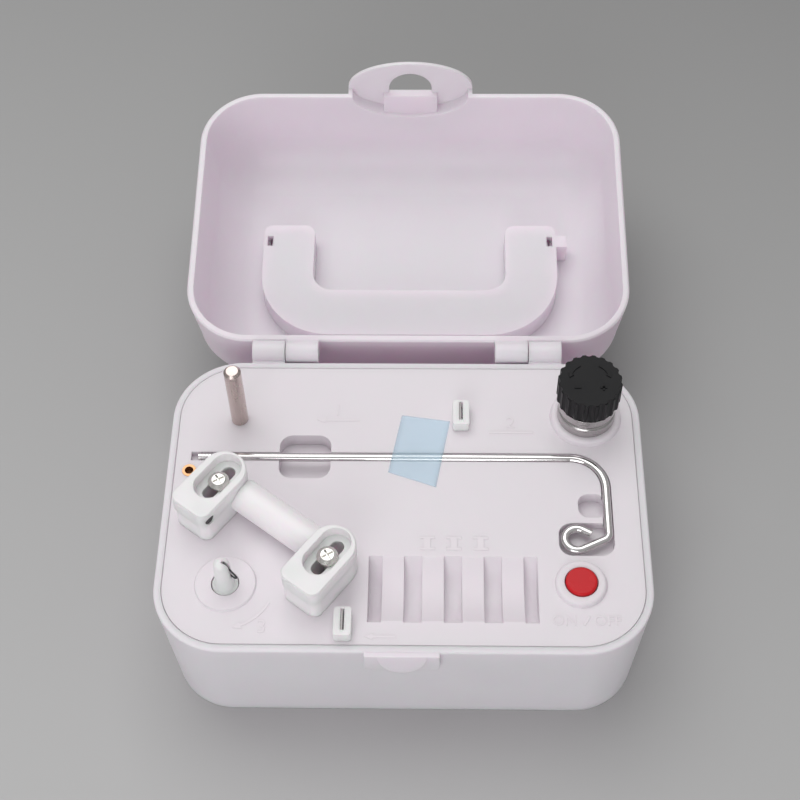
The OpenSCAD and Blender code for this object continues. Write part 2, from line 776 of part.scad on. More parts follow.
module handle() {
    color([0.88, 0.85, 0.89]) open_lid() difference() {
        intersection() {
            translate([0, 0, base_h + handle_top - handle_t]) linear_extrude(handle_t) pocket_plan(handle_in);
            // leg ends are round about the pivot
            union() {
                translate([-pocket_w / 2, handle_axis_y, base_h]) cube([pocket_w, pocket_l, lid_h + 5]);
                translate([-pocket_w / 2, handle_axis_y, base_h + handle_axis_z]) rotate([0, 90, 0])
                    cylinder(r = handle_t / 2, h = pocket_w);
            }
        }
        for (x = [-1, 1]) translate([x * pocket_w / 2, handle_axis_y, base_h + handle_axis_z])
            rotate([0, 90, 0]) cylinder(r = handle_pin_d / 2 + run_gap, h = 24, center = true);
    }
}

module handle_pins() {
    color("silver") open_lid() for (m = [0, 1]) mirror([m, 0, 0])
        translate([pocket_w / 2 - handle_in - 6, handle_axis_y, base_h + handle_axis_z]) rotate([0, 90, 0])
            rod(handle_pin_d / 2, handle_in + 6 - pin_blind - 0.1);
}

// Thread path

module spool_pin() {
    tip = 0.9;
    color("silver") on_deck(spool_at) {
        translate([0, 0, -8]) rod(spool_d / 2 - 0.5, 9);
        rod(spool_d / 2, spool_h - tip);
        translate([0, 0, spool_h - tip]) cylinder(r1 = spool_d / 2, r2 = spool_d / 2 - tip, h = tip);
    }
}

module brass_insert() {
    color([0.70, 0.48, 0.30]) on_deck(insert_at) difference() {
        translate([0, 0, -7]) cylinder(r = 2.4, h = 7.2);
        translate([0, 0, -8]) rod(rod_d / 2, 10);
    }
}

module guide_rod() {
    color("silver") translate([rod_x0, rod_y, rod_z]) difference() {
        wire(rod_d / 2, [[rod_leg_x - rod_bend - rod_x0], [rod_bend, 90],
            [rod_y - rod_bend - rod_end_y - eye_bend],
            [eye_bend, corner_turn], [eye_run], [eye_r, eye_turn], [eye_tail]]);
        // thread grooves on the end that screws into the insert
        for (i = [0 : 5]) translate([1.2 + 1.1 * i, 0, 0]) rotate([0, 90, 0]) difference() {
            cylinder(r = rod_d, h = 0.45);
            translate([0, 0, -1]) cylinder(r = rod_d / 2 - 0.22, h = 3);
        }
    }
}

module transit_tape() {
    // a flat film over the rod with its ends on the deck
    t = 0.12;
    top = rod_z + rod_d / 2;
    color([0.62, 0.80, 0.93, 0.6]) translate([5, rod_y + 3, top + 0.05]) linear_extrude(t)
        polygon([[-6.3, 14.2], [10.8, 12.4], [6.4, -15.2], [-10.8, -10]]);
}

clip_front = 2;
clip_back = 0.8;
clip_floor = 1.2;
clip_foot = [1.5, 4];
plate_w = 0.6;

module thread_clips() {
    color([0.92, 0.90, 0.93]) for (p = clip_at) on_deck(p) difference() {
        union() {
            linear_extrude(clip_h) translate([0, clip_d / 2]) rounded_rect(clip_w, clip_d, 1);
            translate([0, clip_d / 2, -clip_foot[1]]) rod(clip_foot[0], clip_foot[1] + eps);
        }
        translate([-clip_slot / 2, clip_front, clip_floor])
            cube([clip_slot, clip_d - clip_front - clip_back, clip_h]);
    }
}

module clip_plates() {
    gap = 0.1;
    color([0.30, 0.30, 0.31]) for (p = clip_at) on_deck(p)
        translate([-clip_slot / 2 + gap, clip_front + gap, clip_floor])
            cube([plate_w, clip_d - clip_front - clip_back - 2 * gap, clip_h - clip_floor - 0.3]);
}

// Tension unit

module tension_stud() {
    color("silver") on_deck(knob_at) translate([0, 0, -stud_in]) rod(stud_r, stud_in + stud_h);
}

// A pressed cup; lip is the height of its turned edge
module tension_cup() {
    r = disc_d / 2;
    rotate_extrude() polygon(concat([[stud_r + run_gap, 0], [r - 2, 0]],
        arc_points([r - 1.6, 1.6], 1.6, -75, 0, 5),
        [[r, disc_h], [r - sheet, disc_h], [r - sheet, 1.7], [r - 2, sheet], [stud_r + run_gap, sheet]]));
}

module lower_disc() {
    color([0.75, 0.74, 0.73]) on_deck(knob_at) translate([0, 0, low_disc_z + disc_h])
        mirror([0, 0, 1]) tension_cup();
}

module upper_disc() {
    color([0.75, 0.74, 0.73]) on_deck(knob_at) translate([0, 0, high_disc_z]) tension_cup();
}

spring_r = 4.6;
spring_wire = 0.9;
spring_turns = 4;
spring_z0 = high_disc_z + sheet + side_gap / 2;
spring_z1 = knob_z + knob_well_h - washer_t - side_gap / 2;

// One unbroken coil, swept as a tube along a helix
function coil_point(u) = [spring_r * cos(360 * spring_turns * u), spring_r * sin(360 * spring_turns * u),
    spring_z0 + spring_wire / 2 + (spring_z1 - spring_z0 - spring_wire) * u];

module tension_spring() {
    rings = 8 * spring_turns + 1;
    sides = 6;
    pts = [for (i = [0 : rings - 1], j = [0 : sides - 1])
        let (u = i / (rings - 1), a = 360 * spring_turns * u, b = 360 * j / sides, c = coil_point(u),
             k = spring_wire / 2 * cos(b)) c + [k * cos(a), k * sin(a), spring_wire / 2 * sin(b)]];
    quads = [for (i = [0 : rings - 2], j = [0 : sides - 1]) let (n = (j + 1) % sides)
        [i * sides + j, (i + 1) * sides + j, (i + 1) * sides + n, i * sides + n]];
    sides_tri = [for (q = quads, h = [0, 1]) h == 0 ? [q[0], q[1], q[2]] : [q[0], q[2], q[3]]];
    last = (rings - 1) * sides;
    caps = concat([for (j = [1 : sides - 2]) [0, j, j + 1]],
        [for (j = [1 : sides - 2]) [last, last + j + 1, last + j]]);
    color("silver") on_deck(knob_at) polyhedron(pts, concat(sides_tri, caps));
}

module thrust_washer() {
    color("silver") on_deck(knob_at) translate([0, 0, knob_z + knob_well_h - washer_t]) difference() {
        cylinder(r = knob_well_r - side_gap, h = washer_t - eps);
        translate([0, 0, -1]) cylinder(r = stud_r + run_gap, h = 4);
    }
}

module tension_knob() {
    r = knob_d / 2;
    edge = 0.3;
    color([0.12, 0.12, 0.13]) on_deck(knob_at) translate([0, 0, knob_z]) difference() {
        rotate_extrude() polygon([[0, 0], [r - edge, 0], [r, edge],
            [r, knob_h - edge], [r - edge, knob_h], [0, knob_h]]);
        for (i = [0 : knob_flutes - 1]) rotate([0, 0, 360 * i / knob_flutes])
            translate([r + flute_out, 0, -1]) cylinder(r = flute_r, h = knob_h + 2, $fn = 24);
        translate([0, 0, -1]) cylinder(r = knob_well_r, h = 1 + knob_well_h);
        translate([0, 0, -1]) cylinder(r = stud_r + run_gap, h = knob_h - 1);
    }
}

// Winding spindle and drive

module bobbin_post() {
    foot = post_d / 2;
    tip = foot - 0.6;
    color([0.93, 0.92, 0.94]) on_deck(spindle_at) difference() {
        rotate_extrude() polygon(concat(
            [[0, -1], [post_flange_r, -1], [post_flange_r, 0.4], [foot + 0.3, 0.7], [foot, 1.2]],
            arc_points([0, post_h - tip], tip, 0, 80, 9), [[0, post_h - tip + tip * sin(80)]]));
        translate([0, 0, -2]) rod(shaft_d / 2, 2 + shaft_up);
        // slit that the spring wire springs out of
        rotate([0, 0, spring_side]) translate([0.25, -spring_slit / 2, shaft_up + 0.6])
            cube([post_d, spring_slit, post_h]);
    }
}

// Barbed wire that grips the bobbin: down and out from the post's top, then hooked back in
module spindle_spring() {
    color([0.2, 0.2, 0.2]) on_deck(spindle_at) rotate([0, 0, spring_side]) translate([0.9, 0, post_h - 0.6])
        rotate([90, 0, 0]) rotate([0, 0, -64]) wire(spring_wire_r, [[8.6], [0.6, 160], [1.6]]);
}

module spindle_shaft() {
    color("silver") translate([spindle_at[0], spindle_at[1], plate_z - 1.5])
        rod(shaft_d / 2, base_h + shaft_up - plate_z + 1.5);
}

module bush(r, l) {
    difference() {
        cylinder(r = r, h = l);
        translate([0, 0, -1]) rod(shaft_d / 2 + run_gap, l + 2);
    }
}

module upper_bush() {
    color([0.72, 0.55, 0.35]) on_deck(spindle_at) translate([0, 0, -bush_l]) bush(bush_r, bush_l - 3);
}

module lower_bush() {
    color([0.72, 0.55, 0.35]) translate([spindle_at[0], spindle_at[1], plate_z - 0.5])
        bush(low_bush_r, plate_t + 1.5);
}

// A spur gear with slim straight-sided teeth
module gear(teeth, t, bore) {
    pr = gear_m * teeth / 2;
    tip = pr + 0.8 * gear_m;
    root = pr - 1.2 * gear_m;
    step = 360 / teeth;
    difference() {
        linear_extrude(t) polygon([for (i = [0 : teeth - 1],
            k = [[root, -0.25], [tip, -0.11], [tip, 0.11], [root, 0.25]])
            let (a = step * (i + k[1])) k[0] * [cos(a), sin(a)]]);
        translate([0, 0, -1]) cylinder(r = bore, h = t + 2);
    }
}

module spindle_gear() {
    color([0.93, 0.91, 0.84]) translate([spindle_at[0], spindle_at[1], gear_z])
        gear(gear_teeth, gear_t, shaft_d / 2);
}

module motor_pinion() {
    color([0.85, 0.78, 0.60]) translate([motor_at[0], motor_at[1], gear_z - 0.5])
        rotate([0, 0, 180 / pinion_teeth]) gear(pinion_teeth, gear_t + 1, motor_shaft_r);
}

module motor_shaft() {
    color("silver") translate([motor_at[0], motor_at[1], plate_z - motor_l + 2])
        rod(motor_shaft_r, gear_z + gear_t + 1 - plate_z + motor_l - 2);
}

module motor() {
    color([0.68, 0.68, 0.70]) translate([motor_at[0], motor_at[1], plate_z]) difference() {
        union() {
            translate([0, 0, -motor_l]) cylinder(r = motor_d / 2, h = motor_l);
            cylinder(r = motor_nose_r, h = plate_t);
        }
        translate([0, 0, -motor_l + 1]) cylinder(r = motor_shaft_r + run_gap, h = motor_l + plate_t + 2);
        for (x = [-1, 1]) translate([x * motor_screw_x, 0, -4]) rod(motor_screw_r, 6);
    }
}

module motor_screws() {
    color("silver") for (x = [-1, 1])
        translate([motor_at[0] + x * motor_screw_x, motor_at[1], plate_z + plate_t])
            pan_screw(2, 1.3, motor_screw_r, plate_t + 3);
}

module gear_plate() {
    pad = plate_boss_r + 1.4;
    color([0.80, 0.80, 0.82]) translate([0, 0, plate_z]) difference() {
        linear_extrude(plate_t) {
            translate([spindle_at[0] - 8, spindle_at[1] - 8]) square([motor_at[0] - spindle_at[0] + 22, 16]);
            translate(motor_at) circle(motor_d / 2 + 1);
            translate(spindle_at) circle(9);
            for (p = plate_boss) translate(p) circle(pad);
            // webs out to the three bosses
            translate([plate_boss[0][0] - pad, spindle_at[1]]) square([2 * pad, 21]);
            translate([plate_boss[1][0] - pad, plate_boss[1][1]]) square([2 * pad, 15.5]);
            translate([motor_at[0], plate_boss[2][1] - pad])
                square([plate_boss[2][0] - motor_at[0], 2 * pad]);
        }
        translate([spindle_at[0], spindle_at[1], -1]) rod(low_bush_r, plate_t + 2);
        translate([motor_at[0], motor_at[1], -1]) {
            cylinder(r = motor_nose_r + 0.1, h = plate_t + 2);
            for (x = [-1, 1]) translate([x * motor_screw_x, 0, 0]) rod(motor_screw_r + 0.2, plate_t + 2);
        }
        for (p = plate_boss) translate([p[0], p[1], -1]) rod(screw_r + 0.2, plate_t + 2);
    }
}

module plate_screws() {
    color("silver") for (p = plate_boss) translate([p[0], p[1], plate_z]) rotate([180, 0, 0])
        pan_screw(2.4, 1.4, screw_r, plate_t + 7);
}

// Bobbin gauge: two blocks on a bar, clamped by two screws through slots

gauge_at = spindle_at + gauge_reach * [cos(gauge_angle), sin(gauge_angle)]
    + gauge_side * [-sin(gauge_angle), cos(gauge_angle)];
gauge_screw_places = [for (k = [-1, 1])
    gauge_at + k * gauge_span / 2 * [-sin(gauge_angle), cos(gauge_angle)]];

module in_gauge() {
    on_deck(gauge_at) rotate([0, 0, gauge_angle]) translate([0, 0, gauge_lift]) children();
}

module block_plan(t) {
    r = block_w / 2 - t;
    c = block_corner - t;
    x0 = block_x0 + t;
    x1 = block_x1 - block_w / 2;
    translate([x0 + c, -r]) square([x1 - x0 - c, 2 * r]);
    translate([x0, -r + c]) square([c + eps, 2 * (r - c)]);
    for (y = [-1, 1]) translate([x0 + c, y * (r - c)]) circle(c);
    translate([x1, 0]) circle(r);
}

module block_holes() {
    translate([0, 0, -1]) stadium(slot_half, gauge_slot_r, block_h + 2);
    translate([0, 0, block_h - recess_t]) stadium(slot_half - 0.6, recess_r, recess_t + 1);
}

module gauge_base() {
    color([0.95, 0.95, 0.96]) in_gauge() {
        for (k = [-1, 1]) translate([0, k * gauge_span / 2, 0]) difference() {
            linear_extrude(seam_z) block_plan(seam_in);
            block_holes();
        }
        translate([bar_x, 0, bar_z]) rotate([90, 0, 0])
            cylinder(r = bar_d / 2, h = gauge_span - block_w + 2 * seam_in + eps, center = true);
    }
}

module gauge_caps() {
    edge = 0.6;
    color([0.96, 0.96, 0.97]) in_gauge() for (k = [-1, 1])
        translate([0, k * gauge_span / 2, 0]) difference() {
        union() {
            translate([0, 0, seam_z]) linear_extrude(block_h - edge - seam_z) block_plan(0);
            translate([0, 0, block_h - edge - eps]) linear_extrude(edge + eps) block_plan(edge / 2);
        }
        block_holes();
        // window for the beam, towards the other block
        translate([eye_at[0], -k * block_w / 2, eye_at[1]]) rotate([90, 0, 0])
            cylinder(r = eye_hole_r, h = 12, center = true);
        // room for the end of the bar
        translate([bar_x, 0, bar_z]) rotate([90, 0, 0]) translate([0, 0, k * block_w / 2])
            cylinder(r = bar_d / 2, h = 2 * seam_in, center = true);
    }
}

module gauge_screws() {
    color("silver") for (p = gauge_screw_places) on_deck(p) translate([0, 0, gauge_lift + block_h - recess_t])
        rotate([0, 0, 30]) pan_screw(gauge_head[0], gauge_head[1], gauge_screw_r,
            gauge_lift + block_h - recess_t + gauge_screw_l);
}

module beam_part(k) {
    in_gauge() translate([eye_at[0], k * ((gauge_span - block_w) / 2 + eye_in), eye_at[1]])
        rotate([-90 * k, 0, 0]) rod(eye_hole_r, 4.5);
}

module beam_sender() {
    color([0.75, 0.78, 0.85]) beam_part(-1);
}

module beam_receiver() {
    color([0.05, 0.05, 0.06]) beam_part(1);
}

// Button, switch and board

module push_button() {
    r = button_d / 2;
    color([0.78, 0.14, 0.16]) on_deck(button_at) rotate_extrude() polygon(concat(
        [[0, -button_deep], [button_flange_r, -button_deep], [button_flange_r, -button_deep + 1.2],
         [r, -button_deep + 1.2], [r, button_h - 0.8]],
        arc_points([r - 0.8, button_h - 0.8], 0.8, 0, 90, 5), [[0, button_h]]));
}

module switch_plunger() {
    z1 = base_h - button_deep;
    z0 = board_z + board_t + switch_size[2] - 1.2;
    color([0.1, 0.1, 0.1]) translate([button_at[0], button_at[1], z0]) rod(plunger_r, z1 - z0);
}

module push_switch() {
    z = board_z + board_t;
    color([0.55, 0.55, 0.57]) translate([button_at[0], button_at[1], z]) difference() {
        translate([-switch_size[0] / 2, -switch_size[1] / 2, 0]) cube(switch_size);
        translate([0, 0, switch_size[2] - 1.4 - button_travel]) rod(plunger_r + run_gap, 6);
    }
}

module control_board() {
    color([0.10, 0.35, 0.22]) translate([button_at[0], button_at[1], board_z]) difference() {
        linear_extrude(board_t) rounded_rect(board_size[0], board_size[1], 2);
        for (p = board_boss) translate([p[0], p[1], -1]) rod(board_screw_r + 0.2, board_t + 2);
    }
}

module board_screws() {
    color("silver") for (p = board_boss) translate([button_at[0] + p[0], button_at[1] + p[1], board_z])
        rotate([180, 0, 0]) pan_screw(2, 1.2, board_screw_r, board_t + 6);
}

// Power

module dc_inlet() {
    flange = [6, 1.2];
    color([0.12, 0.12, 0.13]) translate([inlet_at[0], back, inlet_at[1]]) rotate([90, 0, 0]) difference() {
        union() {
            translate([0, 0, 0.6]) cylinder(r = inlet_r, h = inlet_l);
            translate([0, 0, wall + 1.8]) cylinder(r = flange[0], h = flange[1]);
        }
        difference() {
            translate([0, 0, -1]) cylinder(r = inlet_bore_r, h = inlet_l - 0.4);
            translate([0, 0, -2]) cylinder(r = inlet_pin_r, h = inlet_l + 2);
        }
        translate([0, 0, -1]) cylinder(r = inlet_bore_r, h = 2.6);
    }
}

function cell_y(i) = bay_at[1] + (i - (cell_count - 1) / 2) * cell_pitch;

module battery_cells() {
    color([0.20, 0.22, 0.26]) for (i = [0 : cell_count - 1]) translate([bay_at[0], cell_y(i), cell_z])
        rotate([0, i % 2 == 0 ? 90 : -90, 0]) translate([0, 0, -cell_l / 2]) {
            cylinder(r = cell_r, h = cell_l - 1.4);
            cylinder(r = 2.7, h = cell_l);
        }
}

module battery_contacts() {
    t = 0.6;
    gap = (bay_size[0] - cell_l) / 2;
    color("silver") for (x = [-1, 1], i = [0 : cell_count - 1])
        translate([bay_at[0] + x * cell_l / 2, cell_y(i), cell_z]) {
        rotate([0, 90 * x, 0]) cylinder(r1 = 2.6, r2 = 4, h = gap - t + eps);
        translate([x > 0 ? gap - t : -gap, -5, -5]) cube([t, 10, 10]);
    }
}

module battery_door() {
    size = bay_size - 2 * [door_in + side_gap, door_in + side_gap];
    color([0.86, 0.83, 0.87]) translate([bay_at[0], bay_at[1], 0]) difference() {
        union() {
            translate([-size[0] / 2, -size[1] / 2, 0]) cube([size[0], size[1], door_t]);
            translate([-size[0] / 2 + 2, -size[1] / 2 - tongue_out, tongue_z])
                cube([size[0] - 4, size[1] + 2 * tongue_out, tongue_t]);
        }
        // grip grooves for a thumb
        for (i = [0 : 4]) translate([size[0] / 2 - 14 + 2 * i, -8, -1]) cube([0.9, 16, 1.5]);
    }
}

base_shell();
deck_plate();
base_pan();
pan_screws();
grip_pads();
lid_shell();
hinge_pins();
handle();
handle_pins();
spool_pin();
brass_insert();
guide_rod();
transit_tape();
thread_clips();
clip_plates();
tension_stud();
lower_disc();
upper_disc();
tension_spring();
thrust_washer();
tension_knob();
bobbin_post();
spindle_spring();
spindle_shaft();
upper_bush();
lower_bush();
spindle_gear();
motor();
motor_shaft();
motor_pinion();
motor_screws();
gear_plate();
plate_screws();
gauge_base();
gauge_caps();
gauge_screws();
beam_sender();
beam_receiver();
push_button();
switch_plunger();
push_switch();
control_board();
board_screws();
dc_inlet();
battery_cells();
battery_contacts();
battery_door();
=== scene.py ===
import math

import bmesh
import bpy
from mathutils import Matrix, Vector


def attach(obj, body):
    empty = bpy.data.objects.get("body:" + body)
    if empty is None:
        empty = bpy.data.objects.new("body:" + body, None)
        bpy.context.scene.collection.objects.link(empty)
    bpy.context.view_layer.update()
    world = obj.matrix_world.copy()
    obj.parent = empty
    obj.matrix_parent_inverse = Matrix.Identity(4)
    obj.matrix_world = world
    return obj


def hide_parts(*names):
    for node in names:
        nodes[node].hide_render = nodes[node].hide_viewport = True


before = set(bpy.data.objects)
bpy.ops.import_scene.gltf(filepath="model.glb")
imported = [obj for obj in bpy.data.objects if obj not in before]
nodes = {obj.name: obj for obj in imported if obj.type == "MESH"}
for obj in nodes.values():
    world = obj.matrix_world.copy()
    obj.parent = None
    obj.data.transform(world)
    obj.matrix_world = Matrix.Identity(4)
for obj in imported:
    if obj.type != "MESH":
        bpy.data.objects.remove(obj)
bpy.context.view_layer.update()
mm = 0.001
# height of the deck in millimetres
deckTop = 50.0
print("frame loaded:", len(nodes), "nodes")


# helpers for objects, nodes and materials
def linkObject(name, data):
    obj = bpy.data.objects.new(name, data)
    bpy.context.scene.collection.objects.link(obj)
    return obj


def meshObject(name, bm):
    mesh = bpy.data.meshes.new(name)
    bm.to_mesh(mesh)
    bm.free()
    return linkObject(name, mesh)


def addNode(tree, kind, values=None, **props):
    n = tree.nodes.new(kind)
    for k, v in props.items():
        setattr(n, k, v)
    for k, v in (values or {}).items():
        n.inputs[k].default_value = v
    return n


def addRange(tree, source, fromSpan, toSpan):
    n = addNode(tree, "ShaderNodeMapRange", {
        "From Min": fromSpan[0],
        "From Max": fromSpan[1],
        "To Min": toSpan[0],
        "To Max": toSpan[1],
    })
    tree.links.new(source, n.inputs["Value"])
    return n.outputs["Result"]


def addMath(tree, operation, first, second):
    # the second value is a socket or a plain number
    n = addNode(tree, "ShaderNodeMath", operation=operation)
    tree.links.new(first, n.inputs[0])
    if isinstance(second, float):
        n.inputs[1].default_value = second
    else:
        tree.links.new(second, n.inputs[1])
    return n.outputs[0]


def addTint(tree, colour, amount):
    n = addNode(tree, "ShaderNodeVectorMath", operation="SCALE")
    tree.links.new(colour, n.inputs[0])
    tree.links.new(amount, n.inputs["Scale"])
    return n.outputs[0]


def startMaterial(name):
    mat = bpy.data.materials.new(name)
    mat.use_nodes = True
    tree = mat.node_tree
    return mat, tree, tree.nodes["Principled BSDF"]


# camera: where the photographer stood, in millimetres and degrees, with the clip range in metres
cameraSet = {
    "at": (9.683, -281.903, 513.322),
    "pitch": 55.072,
    "yaw": 2.094,
    "roll": -1.452,
    "lens": 70.90,
    "sensor": 36.0,
    "clip": (0.01, 20),
}


def makeCamera(c):
    pitch, yaw, roll = (math.radians(c[k]) for k in ("pitch", "yaw", "roll"))
    turn = Matrix.Rotation(yaw, 3, "Z")
    ahead = turn @ Vector((0, math.cos(pitch), -math.sin(pitch)))
    levelUp = turn @ Vector((0, math.sin(pitch), math.cos(pitch)))
    levelRight = turn @ Vector((1, 0, 0))
    right = math.cos(roll) * levelRight + math.sin(roll) * levelUp
    up = -math.sin(roll) * levelRight + math.cos(roll) * levelUp
    data = bpy.data.cameras.new("photoCamera")
    data.lens = c["lens"]
    data.sensor_width = c["sensor"]
    data.clip_start, data.clip_end = c["clip"]
    cam = linkObject("photoCamera", data)
    m = Matrix((right, up, -ahead)).transposed().to_4x4()
    m.translation = Vector(c["at"]) * mm
    cam.matrix_world = m
    bpy.context.scene.camera = cam


makeCamera(cameraSet)
print("camera set")

# studio: sizes in metres, power in watts
studioSet = {
    "floorSize": 6.0,
    # floor colour at the near and at the far end of the painted shade
    "floorNear": 0.49,
    "floorFar": 0.278,
    "floorRough": 0.85,
    # painted shade on the floor: the way it darkens along, and the span in metres it darkens over
    "paintedShadeWay": (0.30, 0.95, 0.0),
    "paintedShadeSpan": (-0.14, 0.35),
    "skyLow": 0.32,
    "skyHigh": 0.50,
    "aim": (0, 0.05, 0.03),
    "lamps": [
        # name, place, size, power, colour
        ("bigSoft", (-0.20, 0.42, 1.17), 1.2, 8.0, (1.0, 0.99, 0.985)),
        ("frontSoft", (-0.3, -1.25, 0.52), 0.9, 6.8, (0.985, 0.99, 1.0)),
    ],
}


def makeSky(s):
    world = bpy.data.worlds.new("studioAir")
    world.use_nodes = True
    tree = world.node_tree
    air = tree.nodes["Background"]
    air.inputs["Color"].default_value = (1, 1, 1, 1)
    ray = addNode(tree, "ShaderNodeTexCoord")
    split = addNode(tree, "ShaderNodeSeparateXYZ")
    tree.links.new(ray.outputs["Generated"], split.inputs["Vector"])
    glow = addRange(tree, split.outputs["Z"], (0.0, 1.0), (s["skyLow"], s["skyHigh"]))
    tree.links.new(glow, air.inputs["Strength"])
    bpy.context.scene.world = world


def makeLamps(s):
    for name, at, size, power, colour in s["lamps"]:
        lamp = bpy.data.lights.new(name, "AREA")
        lamp.energy = power
        lamp.size = size
        lamp.color = colour
        obj = linkObject(name, lamp)
        obj.location = at
        aim = Vector(s["aim"]) - Vector(at)
        obj.rotation_euler = aim.to_track_quat("-Z", "Y").to_euler()


# plain paper with painted shade: its colour darkens slowly towards the back, where the light falls off
def makeFloor(s):
    bm = bmesh.new()
    bmesh.ops.create_grid(bm, x_segments=2, y_segments=2, size=s["floorSize"] / 2)
    floor = meshObject("studioFloor", bm)
    mat, tree, shader = startMaterial("floorPaper")
    spot = addNode(tree, "ShaderNodeTexCoord")
    along = addNode(tree, "ShaderNodeVectorMath", {1: s["paintedShadeWay"]}, operation="DOT_PRODUCT")
    tree.links.new(spot.outputs["Object"], along.inputs[0])
    # painted shade: the floor colour goes from the near grey to the darker far grey towards the back
    grey = addRange(tree, along.outputs["Value"], s["paintedShadeSpan"], (s["floorNear"], s["floorFar"]))
    tree.links.new(grey, shader.inputs["Base Color"])
    shader.inputs["Roughness"].default_value = s["floorRough"]
    floor.data.materials.append(mat)


bpy.context.scene.view_settings.view_transform = "Standard"
bpy.context.scene.view_settings.look = "None"
makeSky(studioSet)
makeLamps(studioSet)
makeFloor(studioSet)
print("studio lit")


# shared effects as node groups: each gives a colour, a height and a roughness
def newGroup(name, inputs):
    g = bpy.data.node_groups.new(name, "ShaderNodeTree")
    for n, kind, value in inputs:
        sock = g.interface.new_socket(n, in_out="INPUT", socket_type=kind)
        sock.default_value = value
    g.interface.new_socket("Color", in_out="OUTPUT", socket_type="NodeSocketColor")
    g.interface.new_socket("Height", in_out="OUTPUT", socket_type="NodeSocketFloat")
    g.interface.new_socket("Roughness", in_out="OUTPUT", socket_type="NodeSocketFloat")
    return g, g.nodes.new("NodeGroupInput"), g.nodes.new("NodeGroupOutput")


# moulded grain: a fine sparked texture for the height, and slow cloudy change for colour and gloss
grainSet = {
    "fine": {"Detail": 3.0, "Roughness": 0.6},
    "slow": {"Scale": 38.0, "Detail": 4.0, "Roughness": 0.55},
    "slowSpan": (0.3, 0.7),
    "rub": 0.09,
}


def makeGrain(s):
    g, given, out = newGroup("mouldGrain", [
        ("Color", "NodeSocketColor", (1, 1, 1, 1)),
        ("Scale", "NodeSocketFloat", 2600.0),
        ("Cloud", "NodeSocketFloat", 0.03),
        ("Gloss", "NodeSocketFloat", 0.45),
    ])
    link = g.links.new
    spot = addNode(g, "ShaderNodeTexCoord")
    fine = addNode(g, "ShaderNodeTexNoise", s["fine"])
    link(spot.outputs["Object"], fine.inputs["Vector"])
    link(given.outputs["Scale"], fine.inputs["Scale"])
    slow = addNode(g, "ShaderNodeTexNoise", s["slow"])
    link(spot.outputs["Object"], slow.inputs["Vector"])
    swing = addRange(g, slow.outputs["Fac"], s["slowSpan"], (-1.0, 1.0))
    cloud = addMath(g, "MULTIPLY", swing, given.outputs["Cloud"])
    bright = addMath(g, "ADD", cloud, 1.0)
    rub = addMath(g, "MULTIPLY", swing, s["rub"])
    link(addTint(g, given.outputs["Color"], bright), out.inputs["Color"])
    link(fine.outputs["Fac"], out.inputs["Height"])
    link(addMath(g, "ADD", given.outputs["Gloss"], rub), out.inputs["Roughness"])
    return g


# drawn metal: streaks along one axis, with dull spots from handling
streakSet = {
    "streak": {"Scale": 1.0, "Detail": 4.0, "Roughness": 0.65},
    "spots": {"Scale": 160.0, "Detail": 3.0},
    # span of the noise, span of the result
    "dull": ((0.45, 0.75), (0.0, 0.14)),
    "fine": ((0.3, 0.7), (-0.05, 0.07)),
    "shade": ((0.2, 0.8), (0.86, 1.08)),
}


def makeStreaks(s):
    g, given, out = newGroup("drawnMetal", [
        ("Color", "NodeSocketColor", (0.6, 0.6, 0.6, 1)),
        ("Stretch", "NodeSocketVector", (1, 1, 1)),
        ("Gloss", "NodeSocketFloat", 0.25),
    ])
    link = g.links.new
    spot = addNode(g, "ShaderNodeTexCoord")
    pull = addNode(g, "ShaderNodeVectorMath", operation="MULTIPLY")
    link(spot.outputs["Object"], pull.inputs[0])
    link(given.outputs["Stretch"], pull.inputs[1])
    streak = addNode(g, "ShaderNodeTexNoise", s["streak"])
    link(pull.outputs[0], streak.inputs["Vector"])
    spots = addNode(g, "ShaderNodeTexNoise", s["spots"])
    link(spot.outputs["Object"], spots.inputs["Vector"])
    dull = addRange(g, spots.outputs["Fac"], *s["dull"])
    fine = addRange(g, streak.outputs["Fac"], *s["fine"])
    shade = addRange(g, streak.outputs["Fac"], *s["shade"])
    worn = addMath(g, "ADD", dull, fine)
    link(addTint(g, given.outputs["Color"], shade), out.inputs["Color"])
    link(streak.outputs["Fac"], out.inputs["Height"])
    link(addMath(g, "ADD", worn, given.outputs["Gloss"]), out.inputs["Roughness"])
    return g


grain = makeGrain(grainSet)
streaks = makeStreaks(streakSet)

# plastics: colour, gloss, grain scale, grain strength, edge radius, cloud, shine, light let through
plasticSet = {
    "shellPlastic": ((0.818, 0.738, 0.806), 0.42, 2600, 0.05, 0.00045, 0.012, 0.5, 0.6),
    "deckPlastic": ((0.795, 0.734, 0.783), 0.46, 2600, 0.06, 0.00035, 0.012, 0.5, 0.2),
    "markPlastic": ((0.792, 0.738, 0.780), 0.46, 2600, 0.06, 0.00020, 0.012, 0.5, 0.0),
    "gaugePlastic": ((0.870, 0.838, 0.856), 0.36, 2200, 0.03, 0.00045, 0.012, 0.5, 0.45),
    "knobPlastic": ((0.005, 0.005, 0.006), 0.36, 2400, 0.14, 0.00015, 0.15, 0.22, 0.0),
    "buttonPlastic": ((0.570, 0.014, 0.020), 0.28, 2400, 0.04, 0.0003, 0.06, 0.2, 0.0),
    "lensPlastic": ((0.30, 0.34, 0.42), 0.12, 900, 0.02, 0.0, 0.03, 0.5, 0.0),
    "darkLens": ((0.010, 0.009, 0.012), 0.14, 900, 0.02, 0.0, 0.05, 0.5, 0.0),
    "gripRubber": ((0.045, 0.045, 0.047), 0.75, 1500, 0.20, 0.0003, 0.12, 0.4, 0.0),
    "boardMask": ((0.020, 0.110, 0.055), 0.35, 1800, 0.08, 0.0, 0.10, 0.5, 0.0),
    "cellSleeve": ((0.050, 0.055, 0.065), 0.32, 1600, 0.04, 0.0003, 0.08, 0.5, 0.0),
}
plasticShared = {
    "IOR": 1.48,
    "Subsurface Radius": (1.0, 0.62, 0.82),
    "Subsurface Scale": 0.008,
}
